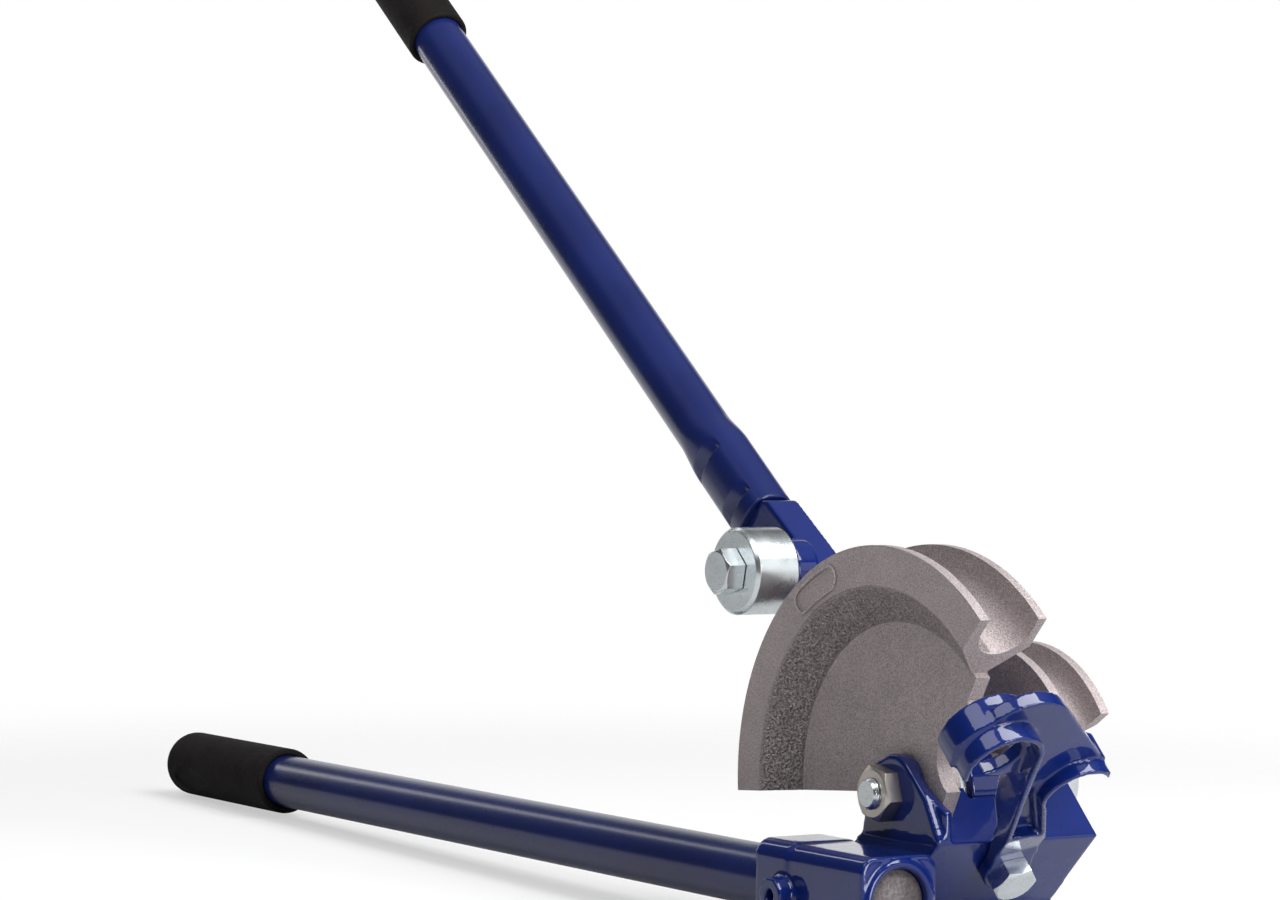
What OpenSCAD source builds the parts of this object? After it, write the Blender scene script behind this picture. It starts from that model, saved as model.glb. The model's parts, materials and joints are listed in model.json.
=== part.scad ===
// Two-handle pipe bender for 22 mm and 15 mm tube, lying on its head and its fixed grip.
// Millimetres. Origin on the ground, straight under the pivot and midway through the lever arm.
// X runs along the fixed handle towards the tube hook, Y along the pivot to the rear, Z up.

/* [Large former] */
// Radius over the rims
large_rim_r = 93; // [90:0.5:96]
// Width of the groove, one tube and its play
large_groove_w = 22.4; // [21.6:0.1:22.8]
// Radius of the groove floor
large_floor_r = 74.8; // [73.5:0.1:76]
// Front rim thickness
large_front_rim = 4.3; // [3.6:0.1:5]
// Rear rim thickness
large_rear_rim = 3.65; // [3.2:0.05:4.2]
// Angle of the groove mouth above the handle line
large_mouth_angle = 47.2; // [45:0.2:52]
// Depth of the web under the front rim
large_web_depth = 11.5; // [10.5:0.1:12.5]

/* [Small former] */
// Radius over the rims
small_rim_r = 55.3; // [53:0.1:57]
// Width of the groove
small_groove_w = 15.3; // [14.8:0.1:15.8]
// Radius of the groove floor
small_floor_r = 42.7; // [42:0.1:44]
// Rim thickness on both sides
small_rim = 3.9; // [3.4:0.1:4.4]
// Angle of the groove mouth above the handle line
small_mouth_angle = 34; // [32:0.5:40]

/* [Lever] */
// Angle between the lever and the handle line as it stands
lever_angle = 142; // [130:0.5:160]
// Thickness of the forged arm
arm_t = 15; // [13:0.5:16]
// Outside diameter of the lever tube
lever_tube_d = 23.7; // [23:0.1:25]
// Offset of the lever tube from the pivot line
lever_offset = 6.8; // [5:0.1:8]
// Distance from the pivot to the lever's grip
lever_grip_start = 521; // [480:1:540]
// Outside diameter of the lever's grip
lever_grip_d = 29; // [28:0.1:31]
// Length of both grips
grip_len = 108; // [100:1:130]

/* [Rollers] */
// Radius of the large roller
large_roller_r = 17.4; // [16:0.1:17.8]
// Length of the large roller
large_roller_len = 20.8; // [20:0.1:21]
// Distance of the large roller from the pivot
large_roller_at = 126.6; // [124:0.1:128]
// Radius of the small roller
small_roller_r = 14; // [12:0.1:15]
// Distance of the small roller from the pivot
small_roller_at = 85; // [83:0.1:88]

/* [Fixed handle] */
// Outside diameter of the fixed tube
fixed_tube_d = 24.4; // [23.6:0.1:25]
// Distance of the handle line under the pivot
handle_drop = 36.2; // [35.6:0.1:37]
// Distance of the handle from the lever plane
handle_side = 53.1; // [53:0.1:53.6]
// Distance from the pivot to the fixed grip
fixed_grip_start = 459; // [430:1:480]
// Outside diameter of the fixed grip
fixed_grip_d = 30.8; // [29:0.1:31]
// Width of the square socket
socket_w = 34; // [33.8:0.1:35]

/* [Head] */
// Height of the pivot over the ground
pivot_height = 60.9; // [60.5:0.1:62]
// Fall of the handle towards its grip, degrees
handle_fall = 0.9; // [0.8:0.05:1]
// Distance of the hook seat from the pivot
hook_seat = 34.9; // [34:0.1:36]
// Distance of the upper slope from the pivot
upper_slope = 11.8; // [11.4:0.1:12.2]
// Pivot bolt diameter
pivot_d = 12; // [11.6:0.1:12.4]
// Hook bolt diameter
hook_bolt_d = 10; // [9.6:0.1:10.4]

/* [Hook] */
// Turn of the hook towards the front as it stands, degrees
hook_turn = 16.3; // [-20:0.1:25]
// Inside radius of the large arch
hook_large_r = 13.6; // [12.5:0.1:14]
// Inside radius of the small arch
hook_small_r = 12.5; // [11.5:0.1:13]
// Thickness of the arches
hook_wall = 3.8; // [3.2:0.1:4.2]

/* [Hidden] */
$fn = 96;

// Clearances of running fits, bolts in plain holes, and faces that pass each other
run_gap = 0.05;
bolt_gap = 0.1;
side_gap = 0.3;

half_gap = 10.35;
arm_half = arm_t / 2;
former_low_angle = 184.5;
toe_x = 29.5;
toe_z = 3.4;
scoop_x = 37;
scoop_z = 14.5;
scoop_r = 14.4;
hub_r = 13;
hub_cut_r = 14.5;
eye_r = 16;
eye_cut_r = 17.6;
pivot_hole_r = pivot_d / 2 + bolt_gap;

large_w = large_front_rim + large_groove_w + large_rear_rim;
large_front = -half_gap - large_w;
large_web_front = large_front + large_web_depth;
large_web_t = 6.5;
large_web_rear = large_web_front + large_web_t;
large_groove_y = large_front + large_front_rim + large_groove_w / 2;
large_centre_r = large_floor_r + large_groove_w / 2;
large_floor_wall = 10.8;
large_rim_root = 2.8;
large_band_out = large_floor_r + large_rim_root;
large_band_in = large_floor_r - large_floor_wall;
nib_x = large_band_in - 23;
nib_z = large_band_in - 26.6;
nib_run = 9;
nib_rise = 15.6;

small_w = small_rim * 2 + small_groove_w;
small_rear = half_gap + small_w;
small_groove_y = half_gap + small_rim + small_groove_w / 2;
small_centre_r = small_floor_r + small_groove_w / 2;
small_web_front = half_gap + 5;
small_web_rear = small_rear - 6;
small_floor_wall = 6.7;
small_rim_root = 4.3;
small_band_out = small_floor_r + small_rim_root;
small_band_in = small_floor_r - small_floor_wall;

lug_t = 6.5;
lug_leaf = 3.2;
front_lug_in = large_web_front - 0.2;
front_lug_out = front_lug_in - lug_t;
rear_lug_in = small_rear - 0.63;
rear_lug_out = rear_lug_in + lug_t;
slope_sum = upper_slope * sqrt(2);
seat_sum = hook_seat * sqrt(2);
corner_x = (slope_sum + seat_sum) / 2;
corner_z = (slope_sum - seat_sum) / 2;
block_left = -18.5;
block_top = -18.6;
foot_front = 5.4;

hex_wide = 19;
hook_hex = 16;
hex_small = 16.5;
nut_t = 6.7;
pivot_tip = front_lug_out - nut_t - 2.5;
pivot_head_t = 7.5;
washer_t = 2;

socket_left = -35.6;
socket_right = 33;
collar_end = -15;
collar_extra = 1.2;
tube_wall = 2;
grip_floor = 6;
grip_round = 10;
fixed_tube_right = 28;
plug_head_r = 11.9;
plug_head_t = 2.5;
plug_dome_r = 20;
set_screw_x = -17;
set_screw_z = -2;
set_boss_r = 7;
set_boss_h = 6.7;
set_screw_r = 2.5;

hook_large_y = -25.2;
hook_large_u = 85.5;
hook_small_y = 14;
hook_small_u = 51;
small_end_y = 25.3;
hook_back = 30;
hook_pocket = 39;
hook_plate_in = 36;
hook_plate = 42;
hook_front = 50;
hook_lip = 2.2;
shoulder_y = -15.5;
shoulder_u = 88;
shoulder_r = 20;
shoulder_slope = 32.2;
leg_top_y = hook_small_y - hook_small_r;
leg_foot_y = 10.3;
leg_foot_u = 20;
hook_foot_in = hook_seat + 0.1;
hook_foot_out = hook_seat + 5.6;
hook_head_at = hook_foot_out + 0.1;
hook_bolt_tip = 19;

roller_bolt_d = 10;
roller_head_t = 8.2;
roller_edge = 1.4;
large_roller_y = large_front + 0.9;
large_roller_end = large_roller_y + large_roller_len;
large_roller_off = -1.3;
roller_washer_t = 1.6;
roller_washer_r = 11;
small_roller_len = 15;
small_roller_y = small_groove_y - small_roller_len / 2;
small_roller_end = small_roller_y + small_roller_len;
boss_r = 12.5;

arm_end = 166.8;
tongue_w = 12;
tongue_end = 212;
tube_start = 167;
sleeve_end = 210;
sleeve_blend = 223;
sleeve_half = 13.4;
sleeve_y = 10.8;
crimp_r = 15.6;

// The whole tool stands on the ground, turned about the pivot by the fall of its handle
module stand() {
    translate([0, 0, pivot_height]) rotate([0, -handle_fall, 0]) children();
}

// Profile drawn in X and Z, extruded between two places along Y
module slab(y0, y1) {
    stand() rotate([90, 0, 0]) translate([0, 0, -y1]) linear_extrude(y1 - y0) children();
}

// Place on the pivot axis, local x and y as X and Z, local z towards the front
module pivot_frame() {
    stand() rotate([90, 0, 0]) children();
}

// Place in the lever's plane, local x along the lever, local y towards the fixed handle
module lever_frame() {
    pivot_frame() rotate([0, 0, lever_angle]) children();
}

module lever_slab(y0, y1) {
    lever_frame() translate([0, 0, -y1]) linear_extrude(y1 - y0) children();
}

// Round piece across the lever
module lever_round(at, off, y0, y1, r) {
    lever_frame() translate([at, off, -y1]) cylinder(r = r, h = y1 - y0);
}

// Place on the lever tube's axis, local z along the tube, local y across the lever
module lever_axis() {
    lever_frame() translate([0, lever_offset, 0]) rotate([0, 90, 0]) children();
}

// Place on the fixed handle's axis, local z towards the grip, local x up
module handle_axis() {
    stand() translate([0, -handle_side, -handle_drop]) rotate([0, -90, 0]) children();
}

// Place on the hook bolt's axis, local z outwards, local y away from the pivot, local x to the rear
module hook_axis(turn) {
    stand() rotate([0, 135, 0]) rotate([0, 0, 90 + turn]) children();
}

// Hexagon with its outer corners turned down, seat at zero
module hex_head(af, h) {
    intersection() {
        cylinder(r = af / sqrt(3), h = h, $fn = 6);
        cylinder(r1 = af * 0.47 + h * 1.7, r2 = af * 0.47, h = h);
    }
}

// Square with rounded corners
module soft_square(w, r) {
    h = w / 2 - r;
    square([w, w - 2 * r], center = true);
    square([w - 2 * r, w], center = true);
    for (i = [-1, 1], j = [-1, 1]) translate([i * h, j * h]) circle(r);
}

// Square bar along the handle between two places on X
module socket_bar(x0, x1, w, r) {
    handle_axis() translate([0, 0, -x1]) linear_extrude(x1 - x0) soft_square(w, r);
}

// Fan for trimming a round profile to an arc
module fan(a0, a1, r) {
    n = 8;
    polygon(concat([[0, 0]], [for (i = [0:n]) [r * cos(a0 + (a1 - a0) * i / n), r * sin(a0 + (a1 - a0) * i / n)]]));
}

// Left part of both leaves of the front lug
module lug_half() {
    circle(13.2);
    translate([4, 2.6]) circle(12.4);
    polygon([[block_left, -24], [block_left, block_top + 0.6], [-15.6, -16], [-13, -4], [0, 0], [corner_x - 8, corner_z - 8]]);
}

// Front leaf of the lug, with its right flank straight down to the corner of the block
module lug_front_shape() {
    lug_half();
    polygon([[0, 0], [4, 15], [12, 12.2], [24, 1.2], [corner_x, corner_z + 1.6], [corner_x, corner_z], [corner_x - 8, corner_z - 8]]);
}

// Rear leaf of the lug, hollowed out to a spur above the corner of the block
module lug_rear_shape() {
    lug_half();
    polygon([[0, 0], [4, 15], [12.2, 9.4], [19.5, 3.3], [25.8, -0.9], [corner_x, -4.6], [corner_x, corner_z],
        [corner_x - 8, corner_z - 8]]);
}

// Rear lug, with its right flank in line with the upper slope
module rear_lug_shape() {
    circle(upper_slope);
    polygon([[block_left, -24], [block_left, block_top + 0.6], [-15.6, -16], [-12, -4], [0, upper_slope],
        [slope_sum / 2, slope_sum / 2], [corner_x, corner_z], [corner_x - 8, corner_z - 8]]);
}

module block_shape() {
    polygon([[block_left, -pivot_height - 8], [block_left, block_top], [4, block_top], [4, slope_sum - 4],
        [corner_x, corner_z], [foot_front, foot_front - seat_sum], [foot_front, -pivot_height - 8]]);
}

// Feature of the socket's mouth: a round lip about the handle's end
module socket_lip() {
    handle_axis() translate([0, 0, -socket_right]) rotate_extrude() translate([fixed_tube_d / 2 + 1.6, 0]) circle(1.4);
}

module head_casting() color("#27397a") difference() {
    union() {
        slab(front_lug_out, front_lug_out + lug_leaf) lug_front_shape();
        slab(front_lug_out + lug_leaf, front_lug_in) lug_rear_shape();
        slab(rear_lug_in, rear_lug_out) rear_lug_shape();
        slab(front_lug_out - 0.6, rear_lug_out) block_shape();
        socket_bar(socket_left, socket_right, socket_w - 0.2, 6);
        socket_bar(socket_left, collar_end, socket_w + collar_extra, 6.5);
        socket_lip();
        handle_axis() translate([set_screw_z, -socket_w / 2 - set_boss_h, -set_screw_x]) rotate([-90, 0, 0])
            cylinder(r = set_boss_r, h = set_boss_h + 2);
    }
    translate([-200, -200, -40]) cube([400, 400, 40]);
    slab(front_lug_in, rear_lug_in) circle(hub_cut_r);
    slab(-half_gap, half_gap) circle(eye_cut_r);
    slab(front_lug_out - 2, front_lug_out) translate([-60, block_top]) square([120, 60]);
    slab(front_lug_out - 2, rear_lug_out + 1) circle(pivot_hole_r);
    handle_axis() translate([0, 0, -socket_right - 3]) cylinder(r = fixed_tube_d / 2, h = 80);
    handle_axis() translate([set_screw_z, -socket_w / 2 - set_boss_h - 1, -set_screw_x]) rotate([-90, 0, 0])
        cylinder(r = set_screw_r, h = socket_w / 2);
    hook_axis(0) translate([0, 0, hook_bolt_tip]) cylinder(r = hook_bolt_d / 2, h = 40);
}

module fixed_tube() color("#27397a") handle_axis() difference() {
    translate([0, 0, -fixed_tube_right])
        cylinder(r = fixed_tube_d / 2, h = fixed_tube_right + fixed_grip_start + grip_len - grip_floor);
    translate([0, 0, -fixed_tube_right - 1])
        cylinder(r = fixed_tube_d / 2 - tube_wall, h = fixed_tube_right + fixed_grip_start + grip_len);
}

module handle_end_plug() color("#7d7374") handle_axis() mirror([0, 0, 1]) translate([0, 0, fixed_tube_right]) {
    translate([0, 0, -14]) cylinder(r = fixed_tube_d / 2 - tube_wall, h = 14);
    rotate_extrude() intersection() {
        square([plug_head_r, 12]);
        translate([0, plug_head_t + 4.1 - plug_dome_r]) circle(plug_dome_r);
    }
}

// Closed sleeve with a rounded end, drawn along local z
module grip(d, bore) {
    rotate_extrude() difference() {
        union() {
            square([d / 2, grip_len - grip_round]);
            square([d / 2 - grip_round, grip_len]);
            translate([d / 2 - grip_round, grip_len - grip_round]) intersection() {
                circle(grip_round);
                translate([grip_round - d / 2, 0]) square([d, grip_round + 1]);
            }
        }
        translate([0, -1]) square([bore / 2, grip_len - grip_floor + 1]);
    }
}

module fixed_grip() color("#201c1d") handle_axis() translate([0, 0, fixed_grip_start]) grip(fixed_grip_d, fixed_tube_d);

module handle_set_screw() color("#4a4a4e") handle_axis() translate([set_screw_z, 0, -set_screw_x]) rotate([90, 0, 0])
    difference() {
        translate([0, 0, fixed_tube_d / 2]) cylinder(r = set_screw_r, h = 7);
        translate([0, 0, fixed_tube_d / 2 + 4]) cylinder(r = 1.45, h = 4, $fn = 6);
    }

// Web of the large former with its scooped edge and the foot that stands on the upper slope
module large_web_shape() {
    intersection() {
        difference() {
            union() {
                intersection() {
                    circle(large_band_in + 1);
                    fan(36, former_low_angle, 120);
                }
                polygon([[0, 0], [0, 40], [32, 40], [44, 30], [toe_x, toe_z], [24, slope_sum - 24], [slope_sum, 0]]);
                circle(hub_r);
            }
            translate([scoop_x, scoop_z]) circle(scoop_r);
            polygon([[nib_x + 2, nib_z - 17], [nib_x, nib_z], [nib_x + nib_run, nib_z + nib_rise], [nib_x + 40, nib_z]]);
        }
        union() {
            circle(hub_r);
            polygon([[-100, -20], [-100, 100], [100, 100], [100, slope_sum - 100], [slope_sum + 10, -10],
                [slope_sum / 2, slope_sum / 2], [0, 0], [-20, -20]]);
        }
    }
}

module former_22() color("#857b7c") difference() {
    union() {
        pivot_frame() rotate([0, 0, large_mouth_angle])
            rotate_extrude(angle = former_low_angle - large_mouth_angle, $fn = 180) difference() {
                polygon([[large_band_in - 3, -large_web_front], [large_band_in, -large_web_front],
                    [large_band_out, -large_front], [large_rim_r, -large_front], [large_rim_r, half_gap],
                    [large_band_out + 1, half_gap], [large_band_in + 2, -large_web_rear],
                    [large_band_in - 3, -large_web_rear]]);
                translate([large_centre_r, -large_groove_y]) circle(large_groove_w / 2);
                translate([large_centre_r, -large_groove_y - large_groove_w / 2]) square([30, large_groove_w]);
            }
        slab(large_web_front, large_web_rear) large_web_shape();
        slab(front_lug_in, -half_gap) circle(hub_r);
    }
    slab(large_front - 1, 0) circle(pivot_hole_r);
}

module small_web_shape() {
    intersection() {
        circle(small_band_in + 2);
        fan(small_mouth_angle, former_low_angle, 80);
    }
    circle(hub_r);
}

module former_15() color("#857b7c") difference() {
    union() {
        pivot_frame() rotate([0, 0, small_mouth_angle])
            rotate_extrude(angle = former_low_angle - small_mouth_angle, $fn = 180) difference() {
                polygon([[small_band_in - 3, -small_web_front], [small_band_in, -small_web_front],
                    [small_band_out, -half_gap], [small_rim_r, -half_gap], [small_rim_r, -small_rear],
                    [small_band_out, -small_rear], [small_band_in, -small_web_rear],
                    [small_band_in - 3, -small_web_rear]]);
                translate([small_centre_r, -small_groove_y]) circle(small_groove_w / 2);
                translate([small_centre_r, -small_groove_y - small_groove_w / 2]) square([20, small_groove_w]);
            }
        slab(small_web_front, small_web_rear) small_web_shape();
        slab(half_gap, rear_lug_in) circle(hub_r);
    }
    slab(0, small_rear + 1) circle(pivot_hole_r);
}

module former_spacers() color("#b0b4b8") difference() {
    union() {
        slab(-half_gap, -arm_half - bolt_gap) circle(hub_r);
        slab(arm_half + bolt_gap, half_gap) circle(hub_r);
    }
    slab(-half_gap - 1, half_gap + 1) circle(pivot_hole_r);
}

module pivot_bolt() color("#b4b6b8") {
    slab(pivot_tip, rear_lug_out + washer_t) circle(pivot_d / 2);
    pivot_frame() translate([0, 0, -rear_lug_out - washer_t]) mirror([0, 0, 1]) hex_head(hex_wide, pivot_head_t);
}

module pivot_nut() color("#b4b6b8") difference() {
    pivot_frame() translate([0, 0, -front_lug_out]) rotate([0, 0, 48]) hex_head(hex_wide, nut_t);
    slab(pivot_tip - 1, front_lug_out + 1) circle(pivot_d / 2);
}

module pivot_washer() color("#b4b6b8") difference() {
    slab(rear_lug_out, rear_lug_out + washer_t) circle(11.4);
    slab(rear_lug_out - 1, rear_lug_out + washer_t + 1) circle(pivot_hole_r);
}

// Outline of the hook's stem, foot and shoulder plate, seen along its bolt
module hook_plate_shape() {
    circle(9.8);
    translate([shoulder_y, shoulder_u]) circle(shoulder_r);
    polygon([[-9, -2], [-7.8, 12], [-8.4, 27], [-10.7, 55], [-11.6, 85], [shoulder_y, shoulder_u],
        [shoulder_y + shoulder_r * cos(shoulder_slope), shoulder_u + shoulder_r * sin(shoulder_slope)],
        [small_end_y, 60.7], [small_end_y, hook_small_u + 5.5], [hook_small_y, hook_small_u + 4], [leg_top_y, hook_small_u],
        [leg_foot_y, leg_foot_u], [9.6, -2]]);
}

// Walls of the two arches and the ribs that run down the stem from them
module hook_rib_shape(wall) {
    difference() {
        union() {
            difference() {
                translate([hook_large_y, hook_large_u]) circle(hook_large_r + wall);
                translate([hook_large_y - 30, hook_large_u - 44.5]) square([60, 40]);
            }
            polygon([[-12.6, 87], [-10.7, 55], [-8.4, 26], [-8.2 + wall, 26], [-10.5 + wall, 55], [-11.6 + wall, 87]]);
            intersection() {
                translate([hook_small_y, hook_small_u]) circle(hook_small_r + wall);
                translate([0, hook_small_u]) polygon([[-4, 0], [hook_small_y, 0], [small_end_y, 5.2],
                    [small_end_y, 40], [-4, 40]]);
            }
            polygon([[leg_top_y - wall, hook_small_u], [leg_top_y, hook_small_u], [leg_foot_y, leg_foot_u],
                [leg_foot_y - wall, leg_foot_u]]);
            polygon([[-8.4, 26], [-4.6, 28], [4, 26], [leg_foot_y, leg_foot_u], [10.8, 8], [-8.2, 8]]);
        }
        translate([hook_large_y, hook_large_u]) circle(hook_large_r);
        translate([hook_large_y - hook_large_r, 20]) square([hook_large_r * 2, hook_large_u - 20]);
    }
}

// Side view of the hook between two lines of distance from the pivot against distance along the bolt
module hook_side(inner, outer) {
    rotate([90, 0, 90]) translate([0, 0, -60]) linear_extrude(120) polygon(concat([[-16, hook_foot_in],
        [27.5, hook_foot_in], [36, hook_back]], inner, outer, [[13, hook_foot_out], [-16, hook_foot_out]]));
}

// Shape trimmed by a side view of the hook
module hook_layer(inner, outer) {
    intersection() {
        translate([0, 0, hook_back]) linear_extrude(hook_front - hook_back) children();
        hook_side(inner, outer);
    }
}

module tube_hook() color("#27397a") hook_axis(hook_turn) difference() {
    union() {
        hook_layer([[50, hook_back], [58, hook_plate_in], [112, hook_plate_in]],
            [[112, hook_plate], [62, hook_plate], [46, hook_pocket], [20, hook_pocket]]) difference() {
            hook_plate_shape();
            translate([hook_large_y, hook_large_u]) circle(hook_large_r);
        }
        hook_layer([[112, hook_back]], [[112, hook_plate], [24, hook_plate]]) hook_rib_shape(hook_wall);
        hook_layer([[112, hook_back]], [[112, hook_front], [86, hook_front], [49, 46.6], [26, 44]])
            hook_rib_shape(hook_lip);
    }
    translate([0, 0, hook_back - 1]) linear_extrude(40) translate([hook_small_y, hook_small_u]) circle(hook_small_r);
    cylinder(r = hook_bolt_d / 2 + run_gap, h = 80);
}

module hook_bolt() color("#b4b6b8") hook_axis(0) {
    translate([0, 0, hook_bolt_tip]) cylinder(r = hook_bolt_d / 2, h = hook_head_at - hook_bolt_tip);
    translate([0, 0, hook_head_at]) rotate([0, 0, 12]) hex_head(hook_hex, 7);
}

module arm_shape() {
    circle(eye_r);
    polygon([[0, -14.2], [12, -13.6], [60, -12], [100, -9.8], [118, -9.6], [arm_end - 6, -7.6], [arm_end - 6, 18.4], [60, 18.6], [0, eye_r]]);
    translate([arm_end - 6, -1.6]) circle(6);
    translate([arm_end - 6, 12.4]) circle(6);
    translate([arm_end - 6, -1.6]) square([6, 14]);
}

module lever_arm() color("#27397a") difference() {
    union() {
        lever_slab(-arm_half, arm_half) arm_shape();
        lever_slab(-arm_half, arm_half) translate([140, lever_offset - tongue_w / 2]) square([tongue_end - 140, tongue_w]);
        lever_round(large_roller_at, large_roller_off, large_roller_end + side_gap + roller_washer_t, -arm_half + 1, boss_r);
        lever_round(small_roller_at, 0, arm_half - 1, small_roller_y - side_gap - roller_washer_t, boss_r);
    }
    lever_round(0, 0, -20, 20, 8);
    lever_round(large_roller_at, large_roller_off, -60, 5, roller_bolt_d / 2);
    lever_round(small_roller_at, 0, -5, 60, roller_bolt_d / 2);
}

module arm_bush() color("#a8894e") difference() {
    lever_round(0, 0, -arm_half, arm_half, 8);
    lever_round(0, 0, -arm_half - 1, arm_half + 1, pivot_d / 2 + run_gap);
}

module stadium(half_l, half_y) {
    square([half_y * 2, (half_l - half_y) * 2], center = true);
    for (s = [-1, 1]) translate([0, s * (half_l - half_y)]) circle(half_y);
}

module lever_tube() color("#27397a") lever_axis() difference() {
    union() {
        translate([0, 0, sleeve_blend])
            cylinder(r = lever_tube_d / 2, h = lever_grip_start + grip_len - grip_floor - sleeve_blend);
        translate([0, 0, tube_start]) linear_extrude(sleeve_end - tube_start) stadium(sleeve_half, sleeve_y);
        hull() {
            translate([0, 0, sleeve_end]) linear_extrude(0.1) stadium(sleeve_half, sleeve_y, $fn = 48);
            translate([0, 0, sleeve_blend - 0.1]) cylinder(r = lever_tube_d / 2, h = 0.1, $fn = 48);
        }
    }
    translate([0, 0, tongue_end]) cylinder(r = 8.6, h = lever_grip_start);
    translate([0, 0, sleeve_blend + 2]) cylinder(r = lever_tube_d / 2 - tube_wall, h = lever_grip_start);
    translate([0, 0, tube_start - 1]) linear_extrude(tongue_end - tube_start + 2) square([arm_t, tongue_w], center = true);
    for (at = [174.8, 203.8]) translate([-sleeve_y - crimp_r + 1.2, 0, at]) rotate([90, 0, 0])
        cylinder(r = crimp_r, h = 60, center = true);
}

module lever_grip() color("#201c1d") lever_axis() translate([0, 0, lever_grip_start]) grip(lever_grip_d, lever_tube_d);

// Plain roller with broken edges, bored for its bolt
module roller(at, off, y0, len, r) {
    bore = roller_bolt_d / 2 + run_gap;
    lever_frame() translate([at, off, -y0 - len]) rotate_extrude() polygon([[bore, 0], [r - roller_edge, 0],
        [r, roller_edge], [r, len - roller_edge], [r - roller_edge, len], [bore, len]]);
}

module roller_22() color("#b9c0c6") roller(large_roller_at, large_roller_off, large_roller_y, large_roller_len, large_roller_r);

module roller_15() color("#b9c0c6") roller(small_roller_at, 0, small_roller_y, small_roller_len, small_roller_r);

module roller_22_bolt() color("#b4b6b8") {
    lever_round(large_roller_at, large_roller_off, large_roller_y - side_gap, 5, roller_bolt_d / 2);
    lever_frame() translate([large_roller_at, large_roller_off, side_gap - large_roller_y]) rotate([0, 0, -5])
        hex_head(hex_small, roller_head_t);
}

module roller_15_bolt() color("#b4b6b8") {
    lever_round(small_roller_at, 0, -5, small_roller_end + side_gap, roller_bolt_d / 2);
    lever_frame() translate([small_roller_at, 0, -small_roller_end - side_gap]) mirror([0, 0, 1])
        hex_head(hex_small, roller_head_t);
}

// Plain washer on a roller bolt
module roller_washer(at, off, y0) {
    difference() {
        lever_round(at, off, y0, y0 + roller_washer_t, roller_washer_r);
        lever_round(at, off, y0 - 1, y0 + roller_washer_t + 1, roller_bolt_d / 2);
    }
}

module roller_22_washer() color("#b4b6b8") roller_washer(large_roller_at, large_roller_off, large_roller_end + side_gap);

module roller_15_washer() color("#b4b6b8") roller_washer(small_roller_at, 0, small_roller_y - side_gap - roller_washer_t);

head_casting();
fixed_tube();
handle_end_plug();
fixed_grip();
handle_set_screw();
former_22();
former_15();
former_spacers();
pivot_bolt();
pivot_nut();
pivot_washer();
tube_hook();
hook_bolt();
lever_arm();
arm_bush();
lever_tube();
lever_grip();
roller_22();
roller_22_bolt();
roller_22_washer();
roller_15();
roller_15_bolt();
roller_15_washer();
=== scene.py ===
import json
import math
import bpy
import bmesh
import numpy as np
from mathutils import Matrix, Vector


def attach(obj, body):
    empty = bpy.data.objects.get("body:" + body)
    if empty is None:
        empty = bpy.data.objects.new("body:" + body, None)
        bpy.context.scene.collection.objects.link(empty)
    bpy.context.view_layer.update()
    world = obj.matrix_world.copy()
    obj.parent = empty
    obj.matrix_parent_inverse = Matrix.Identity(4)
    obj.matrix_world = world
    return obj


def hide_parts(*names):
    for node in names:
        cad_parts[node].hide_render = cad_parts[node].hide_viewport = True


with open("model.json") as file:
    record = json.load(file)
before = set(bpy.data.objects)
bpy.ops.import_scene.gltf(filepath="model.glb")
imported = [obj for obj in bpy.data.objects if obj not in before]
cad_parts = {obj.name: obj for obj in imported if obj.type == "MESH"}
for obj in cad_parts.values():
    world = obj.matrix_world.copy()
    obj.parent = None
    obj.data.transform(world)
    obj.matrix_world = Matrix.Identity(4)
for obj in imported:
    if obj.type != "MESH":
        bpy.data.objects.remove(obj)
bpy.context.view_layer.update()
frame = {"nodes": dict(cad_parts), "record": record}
nodes = frame["nodes"]
scene = bpy.context.scene
print("frame loaded:", len(nodes), "nodes")

# the tool is turned about its pivot until it lies on its foot and its fixed grip
stand = {"pivotHeight": 0.0609, "fallDegrees": 0.9, "leverDegrees": 142.0, "leverOffset": 0.0068,
         "handleSide": 0.0531, "handleDrop": 0.0362, "frontRim": -0.0407}


# a direction of the tool turned by the handle's fall about the pivot axis
def turned(x, y, z):
    fall = math.radians(stand["fallDegrees"])
    return np.array([x * math.cos(fall) - z * math.sin(fall), y, x * math.sin(fall) + z * math.cos(fall)])


# a point of the tool, measured from the pivot, in the shared frame
def placed(x, y, z):
    return turned(x, y, z) + np.array([0, 0, stand["pivotHeight"]])


# a place is an origin and three directions: across, up and along
leverAngle = math.radians(stand["leverDegrees"])
leverAlong = turned(math.cos(leverAngle), 0, math.sin(leverAngle))
leverUnder = turned(-math.sin(leverAngle), 0, math.cos(leverAngle))
rearward = np.array([0.0, 1.0, 0.0])
pivotPoint = placed(0, 0, 0)
leverPlace = {"origin": pivotPoint + leverUnder * stand["leverOffset"],
              "across": rearward, "up": leverUnder, "along": leverAlong}
handlePlace = {"origin": placed(0, -stand["handleSide"], -stand["handleDrop"]),
               "across": rearward, "up": turned(0, 0, 1), "along": turned(-1, 0, 0)}
headPlace = {"origin": pivotPoint, "across": turned(1, 0, 0), "up": turned(0, 0, 1), "along": rearward}
boltPlace = {**headPlace, "along": -rearward}


# local columns (across, up, along) carried into the frame: origin + a across + b up + s along
def carried(local, place):
    axes = np.stack([place["across"], place["up"], place["along"]])
    return local @ axes + place["origin"]


# a mesh becomes a smooth-shaded piece of the scene
def addPiece(name, mesh):
    mesh.polygons.foreach_set("use_smooth", np.ones(len(mesh.polygons), bool))
    piece = bpy.data.objects.new(name, mesh)
    scene.collection.objects.link(piece)
    return piece


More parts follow.
